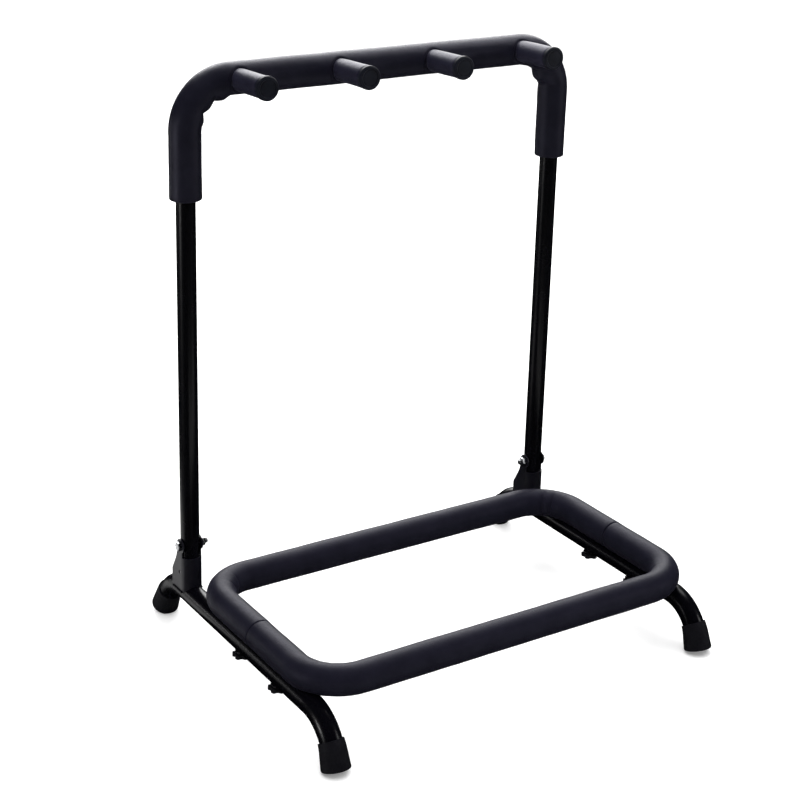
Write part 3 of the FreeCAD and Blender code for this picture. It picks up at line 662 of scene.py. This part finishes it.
def make_floor():
    """Pale floor with a little glow of its own, so that shadows stay faint."""
    mesh = bpy.data.meshes.new("floor")
    far = 14
    corners = [(-far, -far, 0), (far, -far, 0), (far, far, 0), (-far, far, 0)]
    mesh.from_pydata(corners, [], [(0, 1, 2, 3)])
    floor = bpy.data.objects.new("floor", mesh)
    bpy.context.scene.collection.objects.link(floor)
    n = Nodes("floor_white")
    colour = n.ramp(n.noise(0.6, 2), ((0.2, (0.86, 0.86, 0.86)), (0.8, (0.89, 0.89, 0.89))))
    rough = n.remap(n.noise(3), 0, 1, 0.85, 0.95)
    mesh.materials.append(n.finish(
        colour, rough, n.bump(n.noise(20), 0.0001, 0.1),
        Emission_Color=(1, 1, 1, 1), Emission_Strength=0.22,
    ))
    floor.visible_glossy = False


def soft_light(name, place, target, width, height, power):
    light = bpy.data.lights.new(name, "AREA")
    light.shape = "RECTANGLE"
    light.size = width
    light.size_y = height
    light.energy = power
    lamp = bpy.data.objects.new(name, light)
    lamp.location = place
    lamp.rotation_euler = (Vector(target) - Vector(place)).to_track_quat("-Z", "Y").to_euler()
    lamp.visible_camera = False
    bpy.context.scene.collection.objects.link(lamp)


def bounce(name, x, y, width, depth, power):
    """Light thrown back up by the pale floor."""
    soft_light(name, (x, y, 3 * MM), (x, y, 1), width, depth, power)


def make_camera():
    """Long lens in front of the rack, to its left and a little above it, rolled very slightly."""
    place = Vector((-1.07585, -1.56956, 1.0597))
    azimuth, elevation, roll = (math.radians(angle) for angle in (-33.12, 18.79, 1.56))
    lens = bpy.data.cameras.new("camera")
    lens.sensor_width = 36
    lens.lens = 81.08
    lens.shift_y = -0.125
    camera = bpy.data.objects.new("camera", lens)
    back = Vector((
        math.sin(azimuth) * math.cos(elevation),
        -math.cos(azimuth) * math.cos(elevation),
        math.sin(elevation),
    ))
    right = (-back).cross(Vector((0, 0, 1))).normalized()
    up = right.cross(-back)
    rolled_right = math.cos(roll) * right + math.sin(roll) * up
    rolled_up = math.cos(roll) * up - math.sin(roll) * right
    turned = Matrix((rolled_right, rolled_up, back)).transposed()
    camera.matrix_world = Matrix.Translation(place) @ turned.to_4x4()
    bpy.context.scene.collection.objects.link(camera)
    bpy.context.scene.camera = camera


def make_world():
    """Even white glow from overhead that fades at the horizon, before a white backdrop."""
    world = bpy.data.worlds.new("studio")
    world.use_nodes = True
    tree = world.node_tree
    tree.nodes["Background"].inputs["Color"].default_value = (1, 1, 1, 1)
    place = tree.nodes.new("ShaderNodeTexCoord")
    parts = tree.nodes.new("ShaderNodeSeparateXYZ")
    rise = tree.nodes.new("ShaderNodeMapRange")
    rise.interpolation_type = "SMOOTHSTEP"
    for name, value in (("From Min", 0.45), ("From Max", 0.92), ("To Min", 0.02), ("To Max", 2.4)):
        rise.inputs[name].default_value = value
    tree.links.new(place.outputs["Generated"], parts.inputs["Vector"])
    tree.links.new(parts.outputs["Z"], rise.inputs["Value"])
    seen = tree.nodes.new("ShaderNodeLightPath")
    strength = tree.nodes.new("ShaderNodeMath")
    strength.operation = "MAXIMUM"
    tree.links.new(rise.outputs["Result"], strength.inputs[0])
    tree.links.new(seen.outputs["Is Camera Ray"], strength.inputs[1])
    tree.links.new(strength.outputs["Value"], tree.nodes["Background"].inputs["Strength"])
    bpy.context.scene.world = world
    world.cycles_visibility.glossy = False


make_floor()
make_world()
soft_light("back_soft", (1.3, 2.3, 1.6), (0, 0, 0.6), 2.6, 1.8, 70)
soft_light("top_soft", (0.35, 0.5, 1.3), (0.1, 0.2, 0.66), 1.6, 0.6, 8)
soft_light("rim_soft", (1.3, 2.6, 0.5), (0, 0, 0.6), 3.0, 0.5, 6)
soft_light("left_soft", (-2.4, 0.3, 0.22), (0, 0, 0.4), 0.5, 0.4, 7.5)
soft_light("left_low", (-1.6, 2.2, 0.12), (-0.2, 0, 0.1), 1.0, 0.2, 2)
soft_light("right_soft", (2.2, -1.8, 0.9), (0, 0, 0.3), 0.4, 1.4, 8)
bounce("left_bounce", -0.42, 0.33, 0.26, 0.34, 0.24)
bounce("front_bounce", 0, -0.46, 0.9, 0.2, 0.5)
make_camera()
bpy.context.scene.view_settings.view_transform = "Standard"
